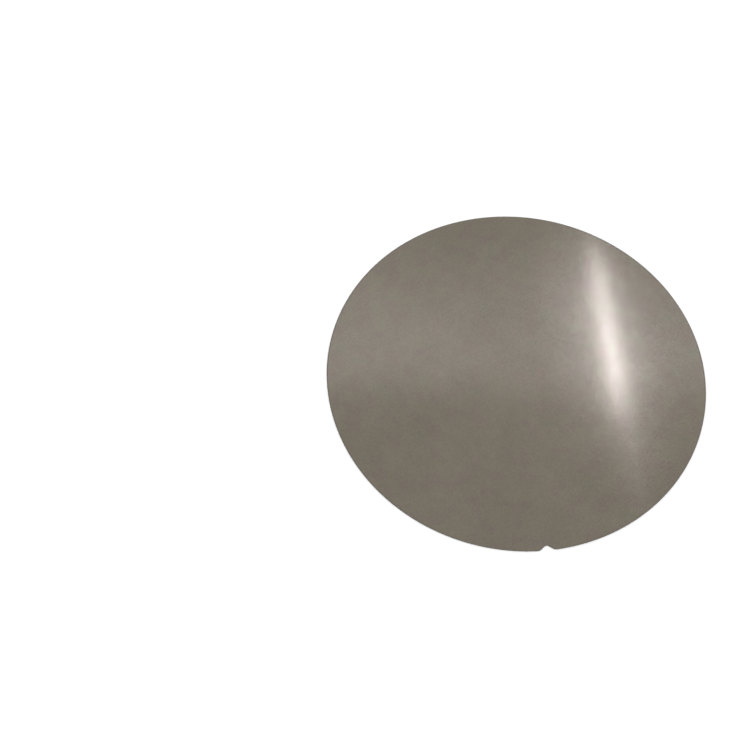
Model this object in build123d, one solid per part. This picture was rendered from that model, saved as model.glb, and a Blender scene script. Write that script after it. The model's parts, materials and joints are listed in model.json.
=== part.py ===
from build123d import *

import math
import os

# A 200 mm piezoelectric wafer with an alignment notch.
#
# The wafer is one thin round plate with two flat, parallel faces. Its rim is ground all the way
# round, notch included, to a shallow bevel from each face and a narrow upright land between them.
# The notch is a V with a round root and round shoulders, which an aligner's pin drops into.
#
# Frame: millimetres, +Z up out of the front face. The origin is the centre of the back face, which
# the wafer lies on, and the notch is at -Y.

# The plate
DIAMETER = 200.0
THICKNESS = 0.725

# The alignment notch, as the plate's outline shows it
NOTCH_DEPTH = 2.5
NOTCH_ANGLE = 105.0
NOTCH_ROOT_RADIUS = 1.5
NOTCH_SHOULDER_RADIUS = 3.5

# The ground rim: how far each bevel reaches in over its face, and how far down towards the land
BEVEL_WIDTH = 0.44
BEVEL_HEIGHT = THICKNESS / 4

RADIUS = DIAMETER / 2


def notch_cutter():
    """The sharp V that the notch is cut with, from its apex to well outside the plate."""
    half_angle = math.radians(NOTCH_ANGLE / 2)
    root_setback = NOTCH_ROOT_RADIUS * (1 / math.sin(half_angle) - 1)
    apex_y = -(RADIUS - NOTCH_DEPTH - root_setback)
    mouth_y = -(RADIUS + NOTCH_DEPTH)
    half_mouth = (apex_y - mouth_y) * math.tan(half_angle)
    corners = [(0, apex_y), (half_mouth, mouth_y), (-half_mouth, mouth_y)]
    return make_face(Polyline(*corners, close=True))


def plate_outline():
    """The plate seen along Z: a circle with the notch, its root and both its shoulders rounded."""
    outline = Circle(RADIUS) - notch_cutter()
    root = outline.vertices().sort_by(Axis.Y)[-1]
    outline = fillet(root, NOTCH_ROOT_RADIUS)
    shoulders = outline.vertices().sort_by(Axis.Y)[:2]
    return fillet(shoulders, NOTCH_SHOULDER_RADIUS)


def bevel(plate, side):
    """Grinds the bevel round the plate's back face (side 0) or its front face (side -1)."""
    face = plate.faces().sort_by(Axis.Z)[side]
    return chamfer(face.edges(), BEVEL_WIDTH, BEVEL_HEIGHT, reference=face)


def wafer():
    plate = extrude(plate_outline(), THICKNESS)
    for side in (0, -1):
        plate = bevel(plate, side)
    return plate


os.makedirs("parts", exist_ok=True)
export_step(wafer(), "parts/wafer.step")
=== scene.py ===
"""The looks of a 200 mm piezoelectric wafer with an alignment notch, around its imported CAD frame.

Units are metres in the part's own frame: the wafer lies on its back face at z = 0, +Z is up and the
notch is at -Y. The script models the wafer again at the CAD's size, with a finer outline and with a
rounded, ground rim, and gives its lapped faces and its rim their finish.
"""

import json
import math

import bpy
from mathutils import Euler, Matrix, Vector


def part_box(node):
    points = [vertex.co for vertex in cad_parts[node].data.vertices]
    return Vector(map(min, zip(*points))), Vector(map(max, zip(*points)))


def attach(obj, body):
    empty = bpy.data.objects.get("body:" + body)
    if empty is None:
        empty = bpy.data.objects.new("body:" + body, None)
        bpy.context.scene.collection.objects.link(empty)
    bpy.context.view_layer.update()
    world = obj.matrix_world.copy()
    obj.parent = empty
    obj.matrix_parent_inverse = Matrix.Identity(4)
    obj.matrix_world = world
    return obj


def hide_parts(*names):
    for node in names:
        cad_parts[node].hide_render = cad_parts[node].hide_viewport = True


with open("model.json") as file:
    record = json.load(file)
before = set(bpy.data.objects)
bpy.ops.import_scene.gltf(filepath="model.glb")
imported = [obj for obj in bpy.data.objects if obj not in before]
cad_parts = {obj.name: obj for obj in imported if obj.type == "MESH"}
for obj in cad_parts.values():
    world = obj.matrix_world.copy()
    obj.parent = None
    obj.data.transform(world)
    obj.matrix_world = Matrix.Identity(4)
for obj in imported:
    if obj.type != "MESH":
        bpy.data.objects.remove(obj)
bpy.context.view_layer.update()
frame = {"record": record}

MM = 0.001

# ---------------------------------------------------------------- sizes


def mount_size(name, key):
    """A dimension of one of the record's mounts, in metres."""
    for mount in frame["record"]["mounts"]:
        if mount["name"] == name:
            return mount["dims"][key] * MM
    raise ValueError(f"the record has no mount {name}")


RADIUS = mount_size("rim", "r_mm")
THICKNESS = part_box("wafer")[1].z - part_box("wafer")[0].z

NOTCH_DEPTH = 2.5 * MM
NOTCH_HALF_ANGLE = math.radians(52.5)   # half the angle between its two straight sides
NOTCH_ROOT_RADIUS = 1.5 * MM
NOTCH_SHOULDER_RADIUS = 3.5 * MM

BEVEL_WIDTH = 0.44 * MM
BEVEL_HEIGHT = THICKNESS / 4
LAND_EDGE_RADIUS = 0.15 * MM    # the land's two edges, as the grinding wheel leaves them
FACE_EDGE_RADIUS = 0.30 * MM    # where each bevel runs out into its face
FACE_MARGIN = 0.12 * MM         # a narrow flat band inside that, which keeps the shading of the face flat

RIM_STEPS = 960                 # outline steps round the circle
NOTCH_STEPS = 14                # steps in each rounded corner of the notch
FLANK_STEPS = 7                 # steps along each straight side of the notch
CORNER_STEPS = 5                # steps in each rounded edge of the rim
FACE_RINGS = 12                 # steps from the middle of a face to its edge

FACE_FINISH = 0                 # the order in which the plate's two materials are put on it
RIM_FINISH = 1


# ---------------------------------------------------------------- the wafer's mesh


class OutlinePoint:
    """A point of the plate's outline, and the direction from it into the plate."""

    def __init__(self, x, y, inward_x, inward_y):
        self.x = x
        self.y = y
        self.inward_x = inward_x
        self.inward_y = inward_y

    def moved_in(self, distance):
        return self.x + self.inward_x * distance, self.y + self.inward_y * distance


def arc(centre, radius, start, end, steps, material_inside=True):
    """Outline points along an arc, from angle start up to but not at angle end."""
    towards_centre = -1 if material_inside else 1
    points = []
    for step in range(steps):
        angle = start + (end - start) * step / steps
        c, s = math.cos(angle), math.sin(angle)
        points.append(OutlinePoint(
            centre.x + radius * c, centre.y + radius * s, towards_centre * c, towards_centre * s))
    return points


def flank(start, end, inward):
    """Outline points along a straight side of the notch, from start up to but not at end."""
    points = []
    for step in range(FLANK_STEPS):
        place = start.lerp(end, step / FLANK_STEPS)
        points.append(OutlinePoint(place.x, place.y, inward.x, inward.y))
    return points


def notch_right_side():
    """The notch's right half, as its root arc's centre, its flank and its shoulder arc's centre.

    The flank is given by the direction from it into the plate, and by its inner and outer ends.
    """
    root = Vector((0, -(RADIUS - NOTCH_DEPTH + NOTCH_ROOT_RADIUS)))
    along = Vector((math.sin(NOTCH_HALF_ANGLE), -math.cos(NOTCH_HALF_ANGLE)))
    inward = Vector((math.cos(NOTCH_HALF_ANGLE), math.sin(NOTCH_HALF_ANGLE)))
    flank_start = root + inward * NOTCH_ROOT_RADIUS

    # The shoulder touches the flank and the rim, so its centre is its radius in from both of them.
    abreast = flank_start + inward * NOTCH_SHOULDER_RADIUS
    reach = RADIUS - NOTCH_SHOULDER_RADIUS
    half = abreast.dot(along)
    flank_length = -half + math.sqrt(half ** 2 + reach ** 2 - abreast.length_squared)
    flank_end = flank_start + along * flank_length
    shoulder = abreast + along * flank_length
    return root, inward, flank_start, flank_end, shoulder


def mirrored(vector):
    """The same place or direction on the notch's left half."""
    return Vector((-vector.x, vector.y))


def angle_of(vector):
    return math.atan2(vector.y, vector.x)


def plate_outline():
    """The outline, anticlockwise from the notch's right shoulder round to that shoulder again."""
    root, inward, flank_start, flank_end, shoulder = notch_right_side()
    left_shoulder = mirrored(shoulder)
    left_inward = mirrored(inward)
    rim_start = angle_of(shoulder)
    rim_end = math.pi - rim_start
    left_flank = angle_of(-left_inward) + 2 * math.pi

    points = arc(Vector((0, 0)), RADIUS, rim_start, rim_end, RIM_STEPS)
    points += arc(left_shoulder, NOTCH_SHOULDER_RADIUS, rim_end, left_flank, NOTCH_STEPS)
    points += flank(mirrored(flank_end), mirrored(flank_start), left_inward)
    points += arc(root, NOTCH_ROOT_RADIUS, angle_of(left_inward), angle_of(inward), NOTCH_STEPS,
                  material_inside=False)
    points += flank(flank_start, flank_end, inward)
    points += arc(shoulder, NOTCH_SHOULDER_RADIUS, angle_of(-inward), rim_start, NOTCH_STEPS)
    return points


def rounded(corner_before, corner, corner_after, radius):
    """Points of the arc that rounds the corner of a line through three points."""
    a = (corner_before - corner).normalized()
    b = (corner_after - corner).normalized()
    half = a.angle(b) / 2
    setback = radius / math.tan(half)
    centre = corner + (a + b).normalized() * (radius / math.sin(half))
    start = corner + a * setback - centre
    end = corner + b * setback - centre
    sweep = start.angle_signed(end)
    points = []
    for step in range(CORNER_STEPS + 1):
        angle = sweep * step / CORNER_STEPS
        c, s = math.cos(angle), math.sin(angle)
        points.append(centre + Vector((start.x * c + start.y * s, start.y * c - start.x * s)))
    return points


def rim_profile():
    """The rim's section as (distance in from the outline, height), from back face to front face."""
    face_end = BEVEL_WIDTH * 3      # only its direction from the bevel counts
    corners = [
        (Vector((face_end, 0)), None),
        (Vector((BEVEL_WIDTH, 0)), FACE_EDGE_RADIUS),
        (Vector((0, BEVEL_HEIGHT)), LAND_EDGE_RADIUS),
        (Vector((0, THICKNESS - BEVEL_HEIGHT)), LAND_EDGE_RADIUS),
        (Vector((BEVEL_WIDTH, THICKNESS)), FACE_EDGE_RADIUS),
        (Vector((face_end, THICKNESS)), None),
    ]
    profile = []
    for k in range(1, len(corners) - 1):
        profile += rounded(corners[k - 1][0], corners[k][0], corners[k + 1][0], corners[k][1])
    margin = profile[0].x + FACE_MARGIN
    return [Vector((margin, 0))] + profile + [Vector((margin, THICKNESS))]


def face_rings(edge, height):
    """Rings of points over a face, from its middle out towards its edge, without the edge itself."""
    rings = []
    for k in range(1, FACE_RINGS):
        scale = k / FACE_RINGS
        rings.append([(x * scale, y * scale, height) for x, y in edge])
    return rings


def rim_rings(outline, profile):
    """Rings of points round the rim, from the back face's edge to the front face's."""
    rings = []
    for step in profile:
        places = [point.moved_in(step.x) for point in outline]
        rings.append([(x, y, step.y) for x, y in places])
    return rings


def wafer_mesh():
    """The closed mesh, in rings from the back face's middle, out round the rim, to the front face's."""
    outline = plate_outline()
    profile = rim_profile()
    edge = [point.moved_in(profile[0].x) for point in outline]
    back = face_rings(edge, 0)
    rim = rim_rings(outline, profile)
    front = face_rings(edge, THICKNESS)
    rings = back + rim + front[::-1]

    vertices = [(0, 0, 0)]
    for ring in rings:
        vertices += ring
    vertices.append((0, 0, THICKNESS))

    count = len(outline)
    steps = [(k, (k + 1) % count) for k in range(count)]
    faces = [(0, 1 + after, 1 + k) for k, after in steps]
    finishes = [FACE_FINISH] * count
    for index in range(len(rings) - 1):
        low = 1 + index * count
        high = low + count
        on_rim = len(back) <= index < len(back) + len(rim) - 1
        faces += [(low + k, low + after, high + after, high + k) for k, after in steps]
        finishes += [RIM_FINISH if on_rim else FACE_FINISH] * count
    middle = len(vertices) - 1
    last = middle - count
    faces += [(middle, last + k, last + after) for k, after in steps]
    finishes += [FACE_FINISH] * count

    mesh = bpy.data.meshes.new("wafer_plate")
    mesh.from_pydata(vertices, [], faces)
    mesh.polygons.foreach_set("material_index", finishes)
    mesh.polygons.foreach_set("use_smooth", [True] * len(faces))
    mesh.update()
    return mesh


# ---------------------------------------------------------------- materials


# A Mix node's sockets for colours, whose names are also those of its sockets for numbers
MIX_COLOUR_A = 6
MIX_COLOUR_B = 7
MIX_COLOUR_RESULT = 2


class Nodes:
    """A short way to write a node tree."""

    def __init__(self, tree):
        self.tree = tree
        self.tree.nodes.clear()

    def add(self, kind, **values):
        node = self.tree.nodes.new(kind)
        for key, value in values.items():
            setattr(node, key, value)
        return node

    def link(self, output, target):
        self.tree.links.new(output, target)

    def object_coordinates(self):
        return self.add("ShaderNodeTexCoord").outputs["Object"]

    def noise(self, vector, scale, detail=2.0):
        """Smooth noise from 0 to 1 with about `scale` bumps to the metre."""
        node = self.add("ShaderNodeTexNoise", noise_dimensions="3D")
        self.link(vector, node.inputs["Vector"])
        node.inputs["Scale"].default_value = scale
        node.inputs["Detail"].default_value = detail
        return node.outputs["Fac"]

    def math(self, operation, a, b=0.0, c=0.0):
        """A Math node's result, from numbers or from other nodes' results."""
        node = self.add("ShaderNodeMath", operation=operation)
        for socket, value in zip(node.inputs, (a, b, c)):
            if hasattr(value, "is_output"):
                self.link(value, socket)
            else:
                socket.default_value = value
        return node.outputs[0]

    def spread(self, value, low, high, source=(0.3, 0.7), smooth=False):
        """Spreads a value's source range, by default that of most noise, over low to high."""
        node = self.add("ShaderNodeMapRange", interpolation_type="SMOOTHSTEP" if smooth else "LINEAR")
        self.link(value, node.inputs["Value"])
        node.inputs["From Min"].default_value = source[0]
        node.inputs["From Max"].default_value = source[1]
        node.inputs["To Min"].default_value = low
        node.inputs["To Max"].default_value = high
        return node.outputs["Result"]

    def mix(self, factor, a, b):
        """The colour a where factor is 0, b where it is 1, and a blend between."""
        node = self.add("ShaderNodeMix", data_type="RGBA")
        self.link(factor, node.inputs["Factor"])
        node.inputs[MIX_COLOUR_A].default_value = (*a, 1)
        node.inputs[MIX_COLOUR_B].default_value = (*b, 1)
        return node.outputs[MIX_COLOUR_RESULT]

    def scaled(self, colour, factor):
        node = self.add("ShaderNodeVectorMath", operation="SCALE")
        self.link(colour, node.inputs[0])
        self.link(factor, node.inputs["Scale"])
        return node.outputs[0]

    def bump(self, height, distance, strength):
        node = self.add("ShaderNodeBump")
        self.link(height, node.inputs["Height"])
        node.inputs["Distance"].default_value = distance
        node.inputs["Strength"].default_value = strength
        return node.outputs["Normal"]

    def metal_surface(self, colour, roughness, normal):
        """Ends a material's tree with one metallic shader that is fed by these."""
        shader = self.add("ShaderNodeBsdfPrincipled")
        self.link(colour, shader.inputs["Base Color"])
        self.link(roughness, shader.inputs["Roughness"])
        self.link(normal, shader.inputs["Normal"])
        shader.inputs["Metallic"].default_value = 1.0
        output = self.add("ShaderNodeOutputMaterial")
        self.link(shader.outputs["BSDF"], output.inputs["Surface"])


def new_material(name):
    material = bpy.data.materials.new(name)
    material.use_nodes = True
    return material, Nodes(material.node_tree)


FACE_COLOURS = ((0.183, 0.168, 0.130), (0.185, 0.156, 0.130))       # the greener and the redder grey
FACE_ROUGHNESS = 0.105
FACE_ROUGHNESS_CHANGE = 0.006

RIM_COLOURS = ((0.138, 0.121, 0.098), (0.175, 0.154, 0.124))        # its darker and its lighter blotches

# The faces' mottling, from soft clouds to fine grain: (bumps to the metre, most the shade changes)
MOTTLING = (
    (13, 0.05),
    (60, 0.03),
    (230, 0.02),
    (900, 0.015),
    (1900, 0.05),
    (3600, 0.17),
)


def lapped_face():
    """The satin faces: a warm grey with soft clouds, and a fine even lapped grain."""
    material, nodes = new_material("lapped_face")
    place = nodes.object_coordinates()
    shade = 1.0
    for scale, amount in MOTTLING:
        shade = nodes.math("ADD", nodes.spread(nodes.noise(place, scale), -amount, amount), shade)
    tint = nodes.spread(nodes.noise(place, 110, detail=3), 0, 1)
    colour = nodes.scaled(nodes.mix(tint, *FACE_COLOURS), shade)
    smoother = FACE_ROUGHNESS - FACE_ROUGHNESS_CHANGE
    rougher = FACE_ROUGHNESS + FACE_ROUGHNESS_CHANGE
    roughness = nodes.spread(nodes.noise(place, 45), smoother, rougher)
    normal = nodes.bump(nodes.noise(place, 4200), distance=0.002 * MM, strength=0.5)
    nodes.metal_surface(colour, roughness, normal)
    return material


def ground_rim():
    """The ground rim: the same material, a little duller and darker, with a rougher grain."""
    material, nodes = new_material("ground_rim")
    place = nodes.object_coordinates()
    blotches = nodes.spread(nodes.noise(place, 900, detail=3), 0, 1)
    grain = nodes.noise(place, 4500, detail=4)
    colour = nodes.scaled(nodes.mix(blotches, *RIM_COLOURS), nodes.spread(grain, 0.85, 1.15))
    roughness = nodes.spread(nodes.noise(place, 1500), 0.32, 0.42)
    normal = nodes.bump(grain, distance=0.01 * MM, strength=0.6)
    nodes.metal_surface(colour, roughness, normal)
    return material


# ---------------------------------------------------------------- the object

plate = bpy.data.objects.new("wafer_plate", wafer_mesh())
bpy.context.collection.objects.link(plate)
plate.data.materials.append(lapped_face())
plate.data.materials.append(ground_rim())
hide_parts("wafer")
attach(plate, "root")


# ---------------------------------------------------------------- camera

CAMERA_LENS = 53.513            # in mm, in front of a sensor 36 mm wide
CAMERA_AZIMUTH = math.radians(-5.585)
CAMERA_ELEVATION = math.radians(62.043)
CAMERA_DISTANCE = 589.7 * MM
CAMERA_AIM = Vector((-74.31, 4.70, 0.36)) * MM


def look_from(azimuth, elevation):
    """The direction from the object to a viewer. Azimuth 0 is the notch's side, elevation is up."""
    level = math.cos(elevation)
    return Vector((math.sin(azimuth) * level, -math.cos(azimuth) * level, math.sin(elevation)))


def add_camera():
    camera = bpy.data.objects.new("camera", bpy.data.cameras.new("camera"))
    camera.data.lens = CAMERA_LENS
    camera.data.sensor_width = 36
    camera.data.clip_start = 0.01
    back = look_from(CAMERA_AZIMUTH, CAMERA_ELEVATION)
    camera.location = CAMERA_AIM + back * CAMERA_DISTANCE
    camera.rotation_euler = (-back).to_track_quat("-Z", "Y").to_euler()
    bpy.context.collection.objects.link(camera)
    bpy.context.scene.camera = camera


# ---------------------------------------------------------------- light and floor

LAMP_COLOUR = (0.79, 0.83, 1.0)
LAMP_GAIN = 1.2                 # brings the lamps' cool colour back to the brightness of white

# A fade is a function that adds nodes to a lamp's tree. From two nodes' results, how far across the
# lamp and how far along it a point lies, each from 0 to 1, it works out how bright the lamp is there.


def fade_from_middle(nodes, across, along):
    """1 in the lamp's middle and 0 at its elliptical edge."""
    x = nodes.math("MULTIPLY_ADD", across, 2.0, -1.0)
    y = nodes.math("MULTIPLY_ADD", along, 2.0, -1.0)
    radius_squared = nodes.math("MULTIPLY_ADD", x, x, nodes.math("MULTIPLY", y, y))
    inside = nodes.math("MAXIMUM", nodes.math("SUBTRACT", 1.0, radius_squared), 0.0)
    return nodes.math("MULTIPLY", inside, inside)


def fade_along(slope, drop):
    """A fade of 1 in the lamp's middle and 1 - drop at its ends, tilted up by slope at the far one."""
    def fade(nodes, across, along):
        y = nodes.math("MULTIPLY_ADD", along, 2.0, -1.0)
        sloped = nodes.math("MULTIPLY_ADD", y, slope, 1.0)
        return nodes.math("MULTIPLY_ADD", nodes.math("MULTIPLY", y, y), -drop, sloped)
    return fade


def fade_from_line(peak):
    """A fade that is 1 on a line across the lamp, at this fraction of its length, and 0 at both ends."""
    def fade(nodes, across, along):
        rise = nodes.spread(along, 0, 1, source=(0, peak), smooth=True)
        fall = nodes.spread(along, 1, 0, source=(peak, 1), smooth=True)
        return nodes.math("MULTIPLY", rise, fall)
    return fade


def add_fade(light, fade):
    """Makes a lamp's light fade over its surface."""
    light.use_nodes = True
    nodes = Nodes(light.node_tree)
    position = nodes.add("ShaderNodeSeparateXYZ")
    nodes.link(nodes.add("ShaderNodeNewGeometry").outputs["Parametric"], position.inputs[0])
    emission = nodes.add("ShaderNodeEmission")
    nodes.link(fade(nodes, position.outputs["X"], position.outputs["Y"]), emission.inputs["Strength"])
    output = nodes.add("ShaderNodeOutputLight")
    nodes.link(emission.outputs["Emission"], output.inputs["Surface"])


def add_lamp(name, place, aim, width, length, radiance, fade, turn=0.0, shape="ELLIPSE"):
    """A flat lamp that faces aim. Its radiance is in units of white, and holds where its fade is 1."""
    light = bpy.data.lights.new(name, "AREA")
    light.shape = shape
    light.size = width
    light.size_y = length
    light.color = LAMP_COLOUR
    fill = math.pi / 4 if shape == "ELLIPSE" else 1
    light.energy = radiance * LAMP_GAIN * math.pi * width * length * fill
    add_fade(light, fade)

    lamp = bpy.data.objects.new(name, light)
    lamp.location = place
    facing = (Vector(aim) - Vector(place)).to_track_quat("-Z", "Y")
    lamp.rotation_mode = "QUATERNION"
    lamp.rotation_quaternion = facing @ Euler((0, 0, turn)).to_quaternion()
    lamp.visible_camera = False
    bpy.context.collection.objects.link(lamp)


def add_ceiling_lamp(name, place, **choices):
    """A lamp that faces straight down."""
    add_lamp(name, place, (place[0], place[1], 0), **choices)


STAND_COUNT = 8
STAND_OFFSET = math.radians(10)
STAND_REACH = 2.0
STAND_HEIGHT = 0.95


def add_lamps():
    """The lamps that the wafer reflects.

    Over its far side hang a tube in a diffuser, with a narrow reflector beside it, and a long dim
    panel. Another tube in a diffuser hangs overhead, and tall soft lamps stand all round. Lamps that
    overlap hang at different heights, because a ray only meets one at a time.
    """
    add_ceiling_lamp("tube", (0.350, 0.589, 1.00), width=0.006, length=0.311, radiance=19.0,
                     turn=-0.043, shape="RECTANGLE", fade=fade_along(-0.25, 0.75))
    add_ceiling_lamp("diffuser", (0.346, 0.566, 1.01), width=0.236, length=0.56, radiance=0.72,
                     turn=0.07, fade=fade_from_middle)
    add_ceiling_lamp("reflector", (0.356, 0.562, 1.02), width=0.016, length=0.70, radiance=5.0,
                     turn=-0.03, fade=fade_from_middle)
    add_ceiling_lamp("panel", (0.190, 0.6565, 1.03), width=1.5, length=0.389, radiance=0.43,
                     turn=-0.091, shape="RECTANGLE", fade=fade_from_line(0.23))
    add_ceiling_lamp("overhead_tube", (0.18, -0.06, 1.00), width=0.04, length=0.42, radiance=6,
                     fade=fade_from_middle)
    add_ceiling_lamp("overhead_diffuser", (0.18, -0.06, 1.01), width=0.24, length=0.50, radiance=0.7,
                     fade=fade_from_middle)
    for k in range(STAND_COUNT):
        angle = STAND_OFFSET + k * 2 * math.pi / STAND_COUNT
        place = (STAND_REACH * math.sin(angle), STAND_REACH * math.cos(angle), STAND_HEIGHT)
        add_lamp(f"stand_{k}", place, (0, 0, STAND_HEIGHT), width=0.35, length=2.2, radiance=1.5,
                 fade=fade_from_middle)


FLOOR_HALF_WIDTH = 3.0
FLOOR_GAP = 0.02 * MM           # keeps the floor from sharing a plane with the back face
FLOOR_GREY = 0.82
FLOOR_GLOW = 0.2                # what brings the floor up to white in the picture and in reflections


def add_floor():
    """A plain white floor."""
    mesh = bpy.data.meshes.new("floor")
    half = FLOOR_HALF_WIDTH
    corners = [(-half, -half, 0), (half, -half, 0), (half, half, 0), (-half, half, 0)]
    mesh.from_pydata(corners, [], [(0, 1, 2, 3)])
    floor = bpy.data.objects.new("floor", mesh)
    floor.location.z = -FLOOR_GAP
    bpy.context.collection.objects.link(floor)

    material, nodes = new_material("floor")
    diffuse = nodes.add("ShaderNodeBsdfDiffuse")
    diffuse.inputs["Color"].default_value = (FLOOR_GREY, FLOOR_GREY, FLOOR_GREY, 1)
    emission = nodes.add("ShaderNodeEmission")
    path = nodes.add("ShaderNodeLightPath")
    seen = nodes.math("MAXIMUM", path.outputs["Is Camera Ray"], path.outputs["Is Glossy Ray"])
    nodes.link(nodes.math("MULTIPLY", seen, FLOOR_GLOW), emission.inputs["Strength"])
    both = nodes.add("ShaderNodeAddShader")
    nodes.link(diffuse.outputs[0], both.inputs[0])
    nodes.link(emission.outputs[0], both.inputs[1])
    output = nodes.add("ShaderNodeOutputMaterial")
    nodes.link(both.outputs[0], output.inputs["Surface"])
    mesh.materials.append(material)


def add_world():
    """An even white studio all round."""
    world = bpy.data.worlds.new("studio")
    bpy.context.scene.world = world
    world.use_nodes = True
    background = world.node_tree.nodes["Background"]
    background.inputs["Color"].default_value = (1, 1, 1, 1)
    background.inputs["Strength"].default_value = 1.0


add_camera()
add_lamps()
add_floor()
add_world()
bpy.context.scene.view_settings.view_transform = "Standard"
